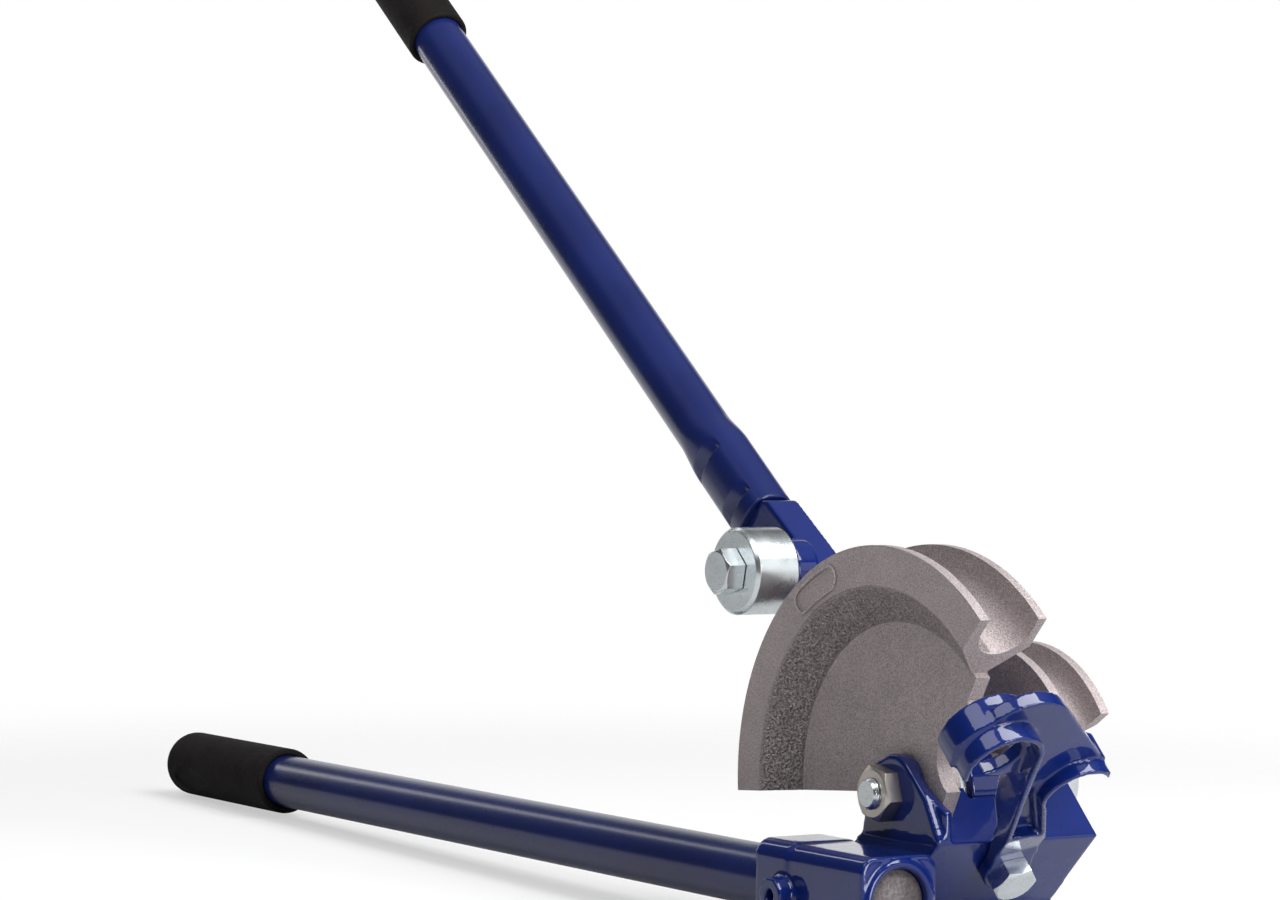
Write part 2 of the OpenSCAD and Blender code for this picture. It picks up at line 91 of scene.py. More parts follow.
# a mesh from whole arrays, its faces turned round if the volume they enclose comes out negative
def meshPiece(name, flat, quads, tris):
    halves = np.vstack([quads[:, [0, 1, 2]], quads[:, [0, 2, 3]], tris])
    a, b, c = flat[halves[:, 0]], flat[halves[:, 1]], flat[halves[:, 2]]
    if np.einsum("ij,ij->i", a, np.cross(b, c)).sum() < 0:
        quads, tris = quads[:, ::-1], tris[:, ::-1]
    mesh = bpy.data.meshes.new(name)
    mesh.from_pydata(flat.tolist(), [], quads.tolist() + tris.tolist())
    mesh.update()
    return addPiece(name, mesh)


# faces of a grid of rows and columns; the columns close into a ring, and the end rows close on a middle point
def ringPiece(name, points, closeStart=True, closeEnd=True, loop=False):
    rows, cols = points.shape[:2]
    index = np.arange(rows * cols).reshape(rows, cols)
    after = np.roll(index, -1, axis=1)
    if loop:
        low, high = index, np.roll(index, -1, axis=0)
        lowAfter, highAfter = after, np.roll(after, -1, axis=0)
    else:
        low, high, lowAfter, highAfter = index[:-1], index[1:], after[:-1], after[1:]
    quads = np.stack([low, lowAfter, highAfter, high], axis=-1).reshape(-1, 4)
    flat = points.reshape(-1, 3)
    fans = []
    if closeStart and not loop:
        flat = np.vstack([flat, points[0].mean(0)])
        fans.append(np.stack([after[0], index[0], np.full(cols, len(flat) - 1)], axis=-1))
    if closeEnd and not loop:
        flat = np.vstack([flat, points[-1].mean(0)])
        fans.append(np.stack([index[-1], after[-1], np.full(cols, len(flat) - 1)], axis=-1))
    tris = np.vstack(fans) if fans else np.zeros((0, 3), int)
    return meshPiece(name, flat, quads, tris)


# edges sharper than an angle are parted, so that each side keeps its own shading
def partEdges(piece, degrees):
    parted = piece.modifiers.new("edges", "EDGE_SPLIT")
    parted.split_angle = math.radians(degrees)
    return piece


# corners of a (radius, along) line rounded by short arcs, each with a close support point on both sides;
# an arc takes no more than a share of the shorter side
def softLine(line, rounding, steps, share=0.42, support=0.12):
    line = np.array(line, float)
    out = [line[0]]
    for k in range(1, len(line) - 1):
        p, a, b = line[k], line[k - 1] - line[k], line[k + 1] - line[k]
        la, lb = np.linalg.norm(a), np.linalg.norm(b)
        r = min(rounding, la * share, lb * share)
        start, end = p + a / la * r, p + b / lb * r
        t = np.linspace(0, 1, steps)[:, None]
        arc = (1 - t) ** 2 * start + 2 * t * (1 - t) * p + t ** 2 * end
        out += [start + a / la * r * support, *arc, end + b / lb * r * support]
    out.append(line[-1])
    return np.array(out)


castSizes = {"weld": 1e-6, "relax": 0.5}


# casting skin: a node's solid remade in small even cells and relaxed, so that its edges come out rounded
def castPiece(name, node, cell, rounds):
    source = bpy.data.objects.new(name + "Source", nodes[node].data.copy())
    scene.collection.objects.link(source)
    work = bmesh.new()
    work.from_mesh(source.data)
    bmesh.ops.remove_doubles(work, verts=work.verts, dist=castSizes["weld"])
    work.to_mesh(source.data)
    work.free()
    cells = source.modifiers.new("cells", "REMESH")
    cells.mode = "VOXEL"
    cells.voxel_size = cell
    cells.use_smooth_shade = True
    relax = source.modifiers.new("relax", "SMOOTH")
    relax.factor = castSizes["relax"]
    relax.iterations = rounds
    ready = source.evaluated_get(bpy.context.evaluated_depsgraph_get())
    mesh = bpy.data.meshes.new_from_object(ready)
    mesh.name = name
    mesh.materials.clear()
    bpy.data.objects.remove(source)
    print("casting", name, len(mesh.polygons), "faces")
    return addPiece(name, mesh)


crispSizes = {"weld": 2e-6, "flatDegrees": 0.4, "sharpDegrees": 28, "steps": 2, "evenWeight": 60}


# clean edges: a node's solid with its flat triangles merged and every sharp edge given a narrow round
def crispPiece(name, node, edge):
    g = crispSizes
    mesh = nodes[node].data.copy()
    mesh.name = name
    work = bmesh.new()
    work.from_mesh(mesh)
    bmesh.ops.remove_doubles(work, verts=work.verts, dist=g["weld"])
    bmesh.ops.dissolve_limit(work, angle_limit=math.radians(g["flatDegrees"]), verts=work.verts, edges=work.edges)
    limit = math.radians(g["sharpDegrees"])
    sharp = [e for e in work.edges if len(e.link_faces) == 2 and e.calc_face_angle(0) > limit]
    bmesh.ops.bevel(work, geom=sharp, offset=edge, offset_type="OFFSET", segments=g["steps"], profile=0.5,
                    affect="EDGES", clamp_overlap=True)
    work.to_mesh(mesh)
    work.free()
    piece = addPiece(name, mesh)
    even = piece.modifiers.new("evenNormals", "WEIGHTED_NORMAL")
    even.weight = g["evenWeight"]
    print("crisp", name, len(mesh.polygons), "faces")
    return piece


# a new node of a material's tree with its values set
def addNode(tree, kind, **values):
    node = tree.nodes.new(kind)
    for key, value in values.items():
        if key in node.inputs:
            node.inputs[key].default_value = value
        else:
            setattr(node, key, value)
    return node


# an empty material: its tree, its shader and its object coordinates
def startFinish(name):
    material = bpy.data.materials.new(name)
    material.use_nodes = True
    tree = material.node_tree
    shader = tree.nodes["Principled BSDF"]
    coords = addNode(tree, "ShaderNodeTexCoord")
    return material, tree, shader, coords


# a colour times a share, fully opaque
def shaded(colour, share):
    return tuple(c * share for c in colour) + (1,)


# noise of a given grain, read at object coordinates
def addGrain(tree, coords, scale, detail, rough=0.5):
    grain = addNode(tree, "ShaderNodeTexNoise", Scale=scale, Detail=detail, Roughness=rough)
    tree.links.new(coords.outputs["Object"], grain.inputs["Vector"])
    return grain


# two colours mixed by a value through a ramp between two stops
def addRamp(tree, source, stops, darkColour, lightColour):
    ramp = addNode(tree, "ShaderNodeValToRGB")
    for element, stop, colour in zip(ramp.color_ramp.elements, stops, (darkColour, lightColour)):
        element.position = stop
        element.color = colour
    tree.links.new(source, ramp.inputs["Fac"])
    return ramp


# a value carried from between two stops to between two levels, by the smooth step 3u^2 - 2u^3 or evenly
def addRange(tree, source, stops, levels=(0.0, 1.0), kind="SMOOTHSTEP"):
    spread = addNode(tree, "ShaderNodeMapRange", interpolation_type=kind)
    spread.inputs["From Min"].default_value, spread.inputs["From Max"].default_value = stops
    spread.inputs["To Min"].default_value, spread.inputs["To Max"].default_value = levels
    tree.links.new(source, spread.inputs["Value"])
    return spread.outputs["Result"]


# one value times another
def addProduct(tree, first, second):
    product = addNode(tree, "ShaderNodeMath", operation="MULTIPLY")
    tree.links.new(first, product.inputs[0])
    tree.links.new(second, product.inputs[1])
    return product.outputs["Value"]


# height into a bump, chained after another bump where one is given
def addBump(tree, height, strength, distance, before=None):
    bump = addNode(tree, "ShaderNodeBump", Strength=strength, Distance=distance)
    tree.links.new(height, bump.inputs["Height"])
    if before is not None:
        tree.links.new(before.outputs["Normal"], bump.inputs["Normal"])
    return bump


# glossy stoved enamel
enamelLook = {"driftScale": 26.0, "driftStops": (0.3, 0.7), "shades": (0.86, 1.14), "fineScale": 420.0,
              "rough": (0.24, 0.36), "peelScale": 190.0, "peelHeight": 0.0004, "specular": 0.05}


# deep blue with a slight drift of shade and a faint orange peel under a clear coat
def enamelFinish(name, colour, peel, coat, coatRough):
    g = enamelLook
    material, tree, shader, coords = startFinish(name)
    drift = addGrain(tree, coords, g["driftScale"], 2.0)
    dark, light = (shaded(colour, share) for share in g["shades"])
    ramp = addRamp(tree, drift.outputs["Fac"], g["driftStops"], dark, light)
    tree.links.new(ramp.outputs["Color"], shader.inputs["Base Color"])
    fine = addGrain(tree, coords, g["fineScale"], 1.5)
    rough = addRange(tree, fine.outputs["Fac"], (0.0, 1.0), g["rough"], "LINEAR")
    tree.links.new(rough, shader.inputs["Roughness"])
    wave = addGrain(tree, coords, g["peelScale"], 2.0)
    bump = addBump(tree, wave.outputs["Fac"], peel, g["peelHeight"])
    tree.links.new(bump.outputs["Normal"], shader.inputs["Normal"])
    tree.links.new(bump.outputs["Normal"], shader.inputs["Coat Normal"])
    shader.inputs["Coat Weight"].default_value = coat
    shader.inputs["Coat Roughness"].default_value = coatRough
    shader.inputs["Specular IOR Level"].default_value = g["specular"]
    return material


# coarse skin of the large former, bumped and darkened by painted shade: a ring about the pivot, past a line through the
# pivot, on the front only
bandSizes = {"softEdge": 0.001, "fromDegrees": 48.1, "fromStops": (0.0008, 0.002), "frontOf": -0.026}


# share of the coarse skin: inside the ring times outside its hole times past the line times in front
def addBand(tree, coords, ring):
    g = bandSizes
    centre = addNode(tree, "ShaderNodeMapping")
    centre.inputs["Location"].default_value = (0, 0, -stand["pivotHeight"])
    centre.inputs["Scale"].default_value = (1, 0, 1)
    tree.links.new(coords.outputs["Object"], centre.inputs["Vector"])
    radius = addNode(tree, "ShaderNodeVectorMath", operation="LENGTH")
    tree.links.new(centre.outputs["Vector"], radius.inputs[0])
    hole, edge, soft = ring[0], ring[1], g["softEdge"]
    inside = addRange(tree, radius.outputs["Value"], (hole - soft, hole + soft))
    outside = addRange(tree, radius.outputs["Value"], (edge + soft, edge - soft))
    start = math.radians(g["fromDegrees"])
    past = addNode(tree, "ShaderNodeVectorMath", operation="DOT_PRODUCT")
    past.inputs[1].default_value = (-math.sin(start), 0, math.cos(start))
    tree.links.new(centre.outputs["Vector"], past.inputs[0])
    begun = addRange(tree, past.outputs["Value"], g["fromStops"])
    apart = addNode(tree, "ShaderNodeSeparateXYZ")
    tree.links.new(coords.outputs["Object"], apart.inputs["Vector"])
    front = addNode(tree, "ShaderNodeMath", operation="LESS_THAN")
    front.inputs[1].default_value = g["frontOf"]
    tree.links.new(apart.outputs["Y"], front.inputs[0])
    return addProduct(tree, addProduct(tree, inside, outside), addProduct(tree, begun, front.outputs["Value"]))


# blasted casting, with stops for the painted shade in the coarse skin's pits
castLook = {"cloudScale": 70.0, "grainShare": 0.88, "grainRough": 0.65, "shades": (0.5, 1.5), "shadeStops": (0.3, 0.7),
            "grainHeight": 0.0005, "coarseShare": 0.62, "pitShadeStops": (0.38, 0.62), "pitHeight": 0.0035,
            "metallic": 0.6, "rough": 0.52}


# warm grey metal with fine grain, and within the coarse skin painted shade, darkest in the pits and lighter on the
# crests, over a second, deeper bump
def castFinish(name, colour, grainScale, strength, ring, bandPaintedShade=(1.0, 1.0)):
    g = castLook
    material, tree, shader, coords = startFinish(name)
    cloud = addGrain(tree, coords, g["cloudScale"], 3.0)
    grain = addGrain(tree, coords, grainScale, 3.0, g["grainRough"])
    blend = addNode(tree, "ShaderNodeMix", data_type="FLOAT")
    blend.inputs[0].default_value = g["grainShare"]
    tree.links.new(cloud.outputs["Fac"], blend.inputs[2])
    tree.links.new(grain.outputs["Fac"], blend.inputs[3])
    dark, light = (shaded(colour, share) for share in g["shades"])
    ramp = addRamp(tree, blend.outputs[0], g["shadeStops"], dark, light)
    band = addBand(tree, coords, ring)
    coarse = addGrain(tree, coords, grainScale * g["coarseShare"], 1.0)
    # painted shade in the coarse skin's pits and painted light on its crests, multiplied into the colour within the
    # band
    paintedPitShade, paintedCrestLight = (shaded((1.0, 1.0, 1.0), share) for share in bandPaintedShade)
    paintedPitShading = addRamp(tree, coarse.outputs["Fac"], g["pitShadeStops"], paintedPitShade, paintedCrestLight)
    shade = addNode(tree, "ShaderNodeMix", data_type="RGBA", blend_type="MULTIPLY")
    tree.links.new(band, shade.inputs[0])
    tree.links.new(ramp.outputs["Color"], shade.inputs[6])
    tree.links.new(paintedPitShading.outputs["Color"], shade.inputs[7])
    tree.links.new(shade.outputs[2], shader.inputs["Base Color"])
    first = addBump(tree, grain.outputs["Fac"], strength, g["grainHeight"])
    bump = addBump(tree, addProduct(tree, coarse.outputs["Fac"], band), 1.0, g["pitHeight"], first)
    tree.links.new(bump.outputs["Normal"], shader.inputs["Normal"])
    shader.inputs["Metallic"].default_value = g["metallic"]
    shader.inputs["Roughness"].default_value = g["rough"]
    return material


# plated or bare metal
zincLook = {"mottleScale": 140.0, "mottleStops": (0.35, 0.7), "darkShare": 0.88,
            "fineScale": 900.0, "fineStrength": 0.08, "fineHeight": 0.0002}


# a faint mottle moves both the colour and the roughness, over fine turning marks
def zincFinish(name, colour, rough):
    g = zincLook
    material, tree, shader, coords = startFinish(name)
    mottle = addGrain(tree, coords, g["mottleScale"], 3.0)
    ramp = addRamp(tree, mottle.outputs["Fac"], g["mottleStops"], shaded(colour, g["darkShare"]), shaded(colour, 1.0))
    tree.links.new(ramp.outputs["Color"], shader.inputs["Base Color"])
    spread = addRange(tree, mottle.outputs["Fac"], (0.0, 1.0), rough, "LINEAR")
    tree.links.new(spread, shader.inputs["Roughness"])
    fine = addGrain(tree, coords, g["fineScale"], 2.0)
    bump = addBump(tree, fine.outputs["Fac"], g["fineStrength"], g["fineHeight"])
    tree.links.new(bump.outputs["Normal"], shader.inputs["Normal"])
    shader.inputs["Metallic"].default_value = 1.0
    return material


# closed-cell foam
foamLook = {"patchScale": 90.0, "patchStops": (0.3, 0.72), "shades": (0.75, 1.4), "poreScale": 900.0, "skinScale": 300.0,
            "bumpStrength": 0.35, "skinHeight": 0.0006, "poreHeight": 0.0004, "rough": 0.72, "specular": 0.12}


# near black in soft patches, with a bump for the skin and then one for the pores
def foamFinish(name, colour):
    g = foamLook
    material, tree, shader, coords = startFinish(name)
    patch = addGrain(tree, coords, g["patchScale"], 4.0)
    dark, light = (shaded(colour, share) for share in g["shades"])
    ramp = addRamp(tree, patch.outputs["Fac"], g["patchStops"], dark, light)
    tree.links.new(ramp.outputs["Color"], shader.inputs["Base Color"])
    pores = addNode(tree, "ShaderNodeTexVoronoi", Scale=g["poreScale"])
    tree.links.new(coords.outputs["Object"], pores.inputs["Vector"])
    skin = addGrain(tree, coords, g["skinScale"], 4.0)
    first = addBump(tree, skin.outputs["Fac"], g["bumpStrength"], g["skinHeight"])
    bump = addBump(tree, pores.outputs["Distance"], g["bumpStrength"], g["poreHeight"], first)
    tree.links.new(bump.outputs["Normal"], shader.inputs["Normal"])
    shader.inputs["Roughness"].default_value = g["rough"]
    shader.inputs["Specular IOR Level"].default_value = g["specular"]
    return material


enamel = enamelFinish("blueEnamel", (0.007, 0.0145, 0.092), peel=0.08, coat=0.75, coatRough=0.2)
enamelCast = enamelFinish("blueEnamelCast", (0.0036, 0.0142, 0.12), peel=0.16, coat=1.0, coatRough=0.04)
# the large former's coarse skin gets painted shade: 0.58 of the colour in its pits and 1.12 on its crests
casting = castFinish("greyCasting", (0.43, 0.374, 0.377), 1600.0, 0.8, ring=(0.0645, 0.0772), bandPaintedShade=(0.58, 1.12))
plugMetal = castFinish("plugMetal", (0.13, 0.113, 0.118), 700.0, 0.2, ring=(0.2, 0.3))
zinc = zincFinish("zincPlate", (0.72, 0.77, 0.79), (0.2, 0.36))
nutPlate = zincFinish("nutPlate", (0.62, 0.575, 0.53), (0.3, 0.42))
foam = foamFinish("gripFoam", (0.0085, 0.0066, 0.0068))
darkSteel = zincFinish("darkSteel", (0.07, 0.07, 0.075), (0.3, 0.45))
bronze = zincFinish("turnedBronze", (0.5, 0.36, 0.15), (0.25, 0.4))
print("finishes made")


# a piece takes its finish, rides its body and stands for its node
def fit(piece, material, slotName, body, *stoodFor):
    piece.data.materials.clear()
    piece.data.materials.append(material)
    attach(piece, body)
    if stoodFor:
        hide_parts(*stoodFor)
    return piece


# every node starts with the finish of its slot
slotFinish = {"blue_enamel": enamel, "cast_grey": casting, "zinc_steel": zinc, "grip_rubber": foam,
              "dark_steel": darkSteel, "bronze": bronze}
for part in frame["record"]["subparts"]:
    mesh = nodes[part["node"]].data
    mesh.materials.clear()
    mesh.materials.append(slotFinish[part["material_slot"]])

# castings with rounded edges: node, cell, rounds of relaxing, finish, slot, body
castings = {"headCasting": ("head_casting", 0.0008, 4, enamelCast, "blue_enamel", "head"),
            "tubeHook": ("tube_hook", 0.00065, 6, enamelCast, "blue_enamel", "hook"),
            "leverArm": ("lever_arm", 0.0008, 4, enamelCast, "blue_enamel", "lever")}
for name, (node, cell, rounds, finish, slotName, body) in castings.items():
    fit(castPiece(name, node, cell, rounds), finish, slotName, body, node)
print("castings done")

# pieces with clean narrow edges: node, edge round, finish, slot, body
crispPieces = {"largeFormer": ("former_22", 0.0005, casting, "cast_grey", "head"),
               "smallFormer": ("former_15", 0.0005, casting, "cast_grey", "head"),
               "handleEndPlug": ("handle_end_plug", 0.0003, plugMetal, "cast_grey", "head"),
               "pivotNut": ("pivot_nut", 0.0002, nutPlate, "zinc_steel", "head"),
               "hookBolt": ("hook_bolt", 0.0003, zinc, "zinc_steel", "head"),
               "largeRoller": ("roller_22", 0.0002, zinc, "zinc_steel", "large_roller"),
               "largeRollerBolt": ("roller_22_bolt", 0.0003, zinc, "zinc_steel", "lever"),
               "smallRoller": ("roller_15", 0.0002, zinc, "zinc_steel", "small_roller"),
               "smallRollerBolt": ("roller_15_bolt", 0.0003, zinc, "zinc_steel", "lever")}
for name, (node, edge, finish, slotName, body) in crispPieces.items():
    fit(crispPiece(name, node, edge), finish, slotName, body, node)
print("crisp pieces done")

# lever tube: round, pressed flatter over the arm's tongue, with two cross dents on its front
leverTubeSizes = {"start": 0.167, "end": 0.600, "round": 0.01185, "flatUp": 0.0134, "flatAcross": 0.0108,
                  "flatPower": 2.7, "roundPower": 2.0, "blendFrom": 0.207, "blendTo": 0.225, "wall": 0.0022,
                  "edge": 0.0007, "edgeRows": 6, "pressedRows": 300, "plainRows": 60, "columns": 144,
                  "dents": ((0.1752, 0.0075), (0.2037, 0.0075)), "dentDepth": 0.0016, "dentCrisp": 0.0006,
                  "dentReach": 0.0108, "dentFade": 0.0022}


# a superellipse carried along the lever; its half widths and power blend from the pressed end to the round tube, and
# each dent sinks the front by depth (1 - e)^1.3, e running from its crisp edge to its soft one
def leverTubePiece(name, place):
    g = leverTubeSizes
    edge = np.linspace(0, 1, g["edgeRows"])
    along = np.concatenate([[g["start"], g["start"]], g["start"] + g["edge"] * edge,
                            np.linspace(g["start"] + 0.0015, g["blendTo"] + 0.01, g["pressedRows"]),
                            np.linspace(g["blendTo"] + 0.02, g["end"], g["plainRows"])])
    inner = np.zeros(len(along))
    inner[:2] = g["flatAcross"] * 0.6, g["wall"] * 0.3 + 0.0003
    inner[2:2 + g["edgeRows"]] = g["wall"] * 0.3 * (1 - edge) ** 2
    inner = inner[:, None]
    u = np.clip((along - g["blendFrom"]) / (g["blendTo"] - g["blendFrom"]), 0, 1)
    u = (u * u * (3 - 2 * u))[:, None]
    angle = np.linspace(0, 2 * np.pi, g["columns"], endpoint=False)[None]
    up = g["flatUp"] * (1 - u) + g["round"] * u - inner
    across = g["flatAcross"] * (1 - u) + g["round"] * u - inner
    power = 2.0 / (g["flatPower"] * (1 - u) + g["roundPower"] * u)
    x = across * np.sign(np.sin(angle)) * np.abs(np.sin(angle)) ** power
    y = up * np.sign(np.cos(angle)) * np.abs(np.cos(angle)) ** power
    s = np.broadcast_to(along[:, None], x.shape)
    front = np.clip(-np.sin(angle) * 2.2 - 0.5, 0, 1) * (inner < 1e-6)
    reach = np.clip((g["dentReach"] - np.abs(y)) / g["dentFade"], 0, 1)
    for at, wide in g["dents"]:
        e = (s - at) / wide
        crisp = np.clip(1 + e * wide / g["dentCrisp"], 0, 1)
        depth = np.where(e < 0, crisp, np.clip(1 - e, 0, 1) ** 1.3)
        x = x + g["dentDepth"] * depth * front * reach
    return ringPiece(name, carried(np.stack([x, y, s], axis=-1), place))


fit(leverTubePiece("leverTube", leverPlace), enamel, "blue_enamel", "lever", "lever_tube")
print("lever tube done")

# pivot bolt: shank, threaded end and hexagon head
boltSizes = {"radius": 0.006, "threadDepth": 0.0006, "pitch": 0.00175, "tip": 0.0451, "threadFrom": 0.026,
             "chamferLong": 0.0013, "chamferDeep": 0.0011, "plainRows": 12, "threadRows": 190, "columns": 72,
             "headAt": 0.04132, "headThick": 0.0075, "acrossFlats": 0.019, "headTurn": 0.2, "splitDegrees": 35}


# radius less the thread's depth times a triangle wave of along / pitch - angle / turn, tapering to a chamfer at the tip
def threadPiece(name, place):
    g = boltSizes
    along = np.concatenate([np.linspace(-g["headAt"], g["threadFrom"], g["plainRows"]),
                            np.linspace(g["threadFrom"] + 0.0001, g["tip"], g["threadRows"])])[:, None]
    angle = np.linspace(0, 2 * np.pi, g["columns"], endpoint=False)[None]
    wave = np.abs(((along / g["pitch"] - angle / (2 * np.pi)) % 1.0) * 2 - 1)
    cut = g["threadDepth"] * wave * (along > g["threadFrom"])
    chamfer = np.clip((along - (g["tip"] - g["chamferLong"])) / g["chamferLong"], 0, 1) * g["chamferDeep"]
    radius = np.minimum(g["radius"] - cut, g["radius"] - chamfer)
    radius = np.vstack([radius, radius[-1:] * 0.96, radius[-1:] * 0.5])
    along = np.broadcast_to(np.vstack([along, along[-1:], along[-1:]]), radius.shape)
    local = np.stack([radius * np.sin(angle), radius * np.cos(angle), along], axis=-1)
    return partEdges(ringPiece(name, carried(local, place)), g["splitDegrees"])


hexSizes = {"topShare": 0.475, "coneDegrees": 30, "sideSteps": 12, "splitDegrees": 24}


# hexagon: side radius half the flats over the cosine from the nearest flat, its top turned down by a cone
def hexPiece(name, place, seat, thick, flats, turn):
    g = hexSizes
    sixth = np.pi / 3
    steps = np.concatenate([np.linspace(0, sixth, g["sideSteps"], endpoint=False) + k * sixth for k in range(6)])
    side = flats / 2 / np.cos(steps % sixth - sixth / 2)
    even = np.ones(len(steps))
    top = flats * g["topShare"]
    rise = thick - np.clip(side - top, 0, None) * math.tan(math.radians(g["coneDegrees"]))
    rings = [(side * 0.9, even * 0), (side * 0.99, even * 0), (side, even * 0.0002), (side, rise * 0.5),
             (side, rise - 0.0001), (side * 0.995, rise + 0.00005), (even * top, even * thick),
             (even * top * 0.96, even * thick), (even * top * 0.5, even * thick)]
    local = np.stack([np.stack([r * np.sin(steps + turn), r * np.cos(steps + turn), seat + h], axis=-1)
                      for r, h in rings])
    return partEdges(ringPiece(name, carried(local, place)), g["splitDegrees"])


fit(threadPiece("pivotBoltShank", boltPlace), zinc, "zinc_steel", "head", "pivot_bolt")
boltHead = hexPiece("pivotBoltHead", headPlace, boltSizes["headAt"], boltSizes["headThick"],
                    boltSizes["acrossFlats"], boltSizes["headTurn"])
fit(boltHead, zinc, "zinc_steel", "head")
print("pivot bolt done")

# raised oval on the front rim, left bare inside
badgeSizes = {"radius": 0.0853, "angleDegrees": 118.6, "half": 0.0098, "end": 0.0046, "bead": 0.0006, "beadFlat": 0.7,
              "proud": 0.0005, "endSteps": 28, "sideSteps": 24, "beadSteps": 12}


# a small round bead carried along a stadium: straight sides and two half circles, laid out along the rim
def badgePiece(name):
    g = badgeSizes
    turn = np.linspace(-np.pi / 2, np.pi / 2, g["endSteps"])
    right = np.column_stack([g["half"] + g["end"] * np.cos(turn), g["end"] * np.sin(turn)])
    straight = np.linspace(g["half"], -g["half"], g["sideSteps"])[1:-1]
    side = np.column_stack([straight, np.full(len(straight), g["end"])])
    path = np.vstack([right, side, -right, -side])
    ahead = np.roll(path, -1, axis=0) - np.roll(path, 1, axis=0)
    ahead /= np.linalg.norm(ahead, axis=1)[:, None]
    out = np.column_stack([ahead[:, 1], -ahead[:, 0]])
    around = np.linspace(0, 2 * np.pi, g["beadSteps"], endpoint=False)
    flat = path[:, None] + out[:, None] * (g["bead"] * np.cos(around))[None, :, None]
    depth = np.broadcast_to(g["bead"] * np.sin(around) * g["beadFlat"], flat.shape[:2])
    bent = math.radians(g["angleDegrees"] + stand["fallDegrees"]) - flat[..., 0] / g["radius"]
    reach = g["radius"] + flat[..., 1]
    points = np.stack([reach * np.cos(bent), stand["frontRim"] - g["proud"] + depth,
                       reach * np.sin(bent) + stand["pivotHeight"]], axis=-1)
    return ringPiece(name, points, loop=True)


fit(badgePiece("rimOval"), casting, "cast_grey", "head")
print("rim oval done")

# foam grips: a plain sleeve with a domed end, a rolled lip at the tube and one leaf-shaped hollow along its side
gripSizes = {"length": 0.108, "dome": 0.010, "lip": 0.0022, "lipSteps": 7, "mouth": 0.004, "tubeGap": 0.00002,
             "hollowDepth": 0.0011, "hollowFrom": 0.52, "hollowLong": 0.34, "hollowWide": 0.0064,
             "rows": 150, "columns": 160}
fixedGrip = {"start": 0.459, "outer": 0.0308, "tube": 0.0244, "hollowDegrees": 249}
leverGrip = {"start": 0.521, "outer": 0.029, "tube": 0.0237, "hollowDegrees": 310}


# radius along the sleeve, less a leaf-shaped hollow: depth (1 - (v/w)^2)^0.7 where w narrows from the dome to the tube
def gripPiece(name, place, own):
    g = gripSizes
    outerR, tubeR, length = own["outer"] / 2, own["tube"] / 2 + g["tubeGap"], g["length"]
    lip = softLine([[tubeR, g["mouth"]], [tubeR, 0.0], [outerR, 0.0], [outerR, g["lip"] * 1.25]], g["lip"], g["lipSteps"])
    body = np.column_stack([np.full(g["rows"], outerR), np.linspace(g["lip"] * 1.3, length - g["dome"], g["rows"])])
    corner = np.linspace(0, np.pi / 2, 14)[:, None]
    dome = np.hstack([outerR + g["dome"] * (np.cos(corner) - 1), length + g["dome"] * (np.sin(corner) - 1)])
    flatEnd = np.column_stack([np.linspace(outerR - g["dome"], 0.0008, 10)[1:], np.full(9, length)])
    profile = np.vstack([lip[:-1], body, dome[1:], flatEnd])
    r, s = profile[:, :1], profile[:, 1:]
    angle = np.linspace(0, 2 * np.pi, g["columns"], endpoint=False)
    away = np.angle(np.exp(1j * (angle - math.radians(own["hollowDegrees"]))))[None] * outerR
    reach = np.clip((s - length * g["hollowFrom"]) / (length * g["hollowLong"]), 0, 1)
    width = g["hollowWide"] * np.sin(np.pi * reach ** 1.6) ** 0.7 + 1e-6
    hollow = g["hollowDepth"] * np.clip(1 - (away / width) ** 2, 0, 1) ** 0.7 * (reach > 0) * (reach < 1)
    radius = r - hollow * (r > outerR - 0.003)
    along = np.broadcast_to(s, radius.shape) + own["start"]
    local = np.stack([radius * np.sin(angle), radius * np.cos(angle), along], axis=-1)
    return ringPiece(name, carried(local, place), closeStart=False)


fit(gripPiece("fixedGripFoam", handlePlace, fixedGrip), foam, "grip_rubber", "head", "fixed_grip")
fit(gripPiece("leverGripFoam", leverPlace, leverGrip), foam, "grip_rubber", "lever", "lever_grip")
print("grips done")

# photograph's viewing place: heading from +X towards +Y, tilt upwards, roll about the line of sight, and the focal
# length in pixels of an image of the given width
view = {"place": (1.15364002, -0.8754581, 0.2238507), "headingDegrees": 147.76226, "tiltDegrees": -1.45541,
        "rollDegrees": 1.13589, "focal": 3805.492, "width": 1280.0, "sensor": 36.0, "clip": (0.05, 60.0)}


# line of sight from heading and tilt; right is level, then rolled; up is square to both
def photoCamera(name):
    heading, tilt, roll = (math.radians(view[key]) for key in ("headingDegrees", "tiltDegrees", "rollDegrees"))
    ahead = np.array([math.cos(tilt) * math.cos(heading), math.cos(tilt) * math.sin(heading), math.sin(tilt)])
    level = np.array([math.sin(heading), -math.cos(heading), 0.0])
    right = level * math.cos(roll) + np.cross(level, ahead) * math.sin(roll)
    columns = np.column_stack([right, np.cross(right, ahead), -ahead, view["place"]])
    lens = bpy.data.cameras.new(name)
    lens.sensor_width = view["sensor"]
    lens.lens = view["focal"] / view["width"] * view["sensor"]
    lens.clip_start, lens.clip_end = view["clip"]
    camera = bpy.data.objects.new(name, lens)
    scene.collection.objects.link(camera)
    camera.matrix_world = Matrix([*columns.tolist(), [0, 0, 0, 1]])
    return camera


scene.camera = photoCamera("photoView")

# floor: a wide pale disc that fades out into the white behind it
floorSizes = {"radius": 1.5, "hub": 0.01, "drop": 0.0002, "rings": 40, "spokes": 96, "centre": (-0.2, 0.0),
              "fadeStops": (0.42, 0.85), "colour": 0.52, "seenColour": 0.4, "seenGlow": 0.53, "mirrorShare": 0.1}


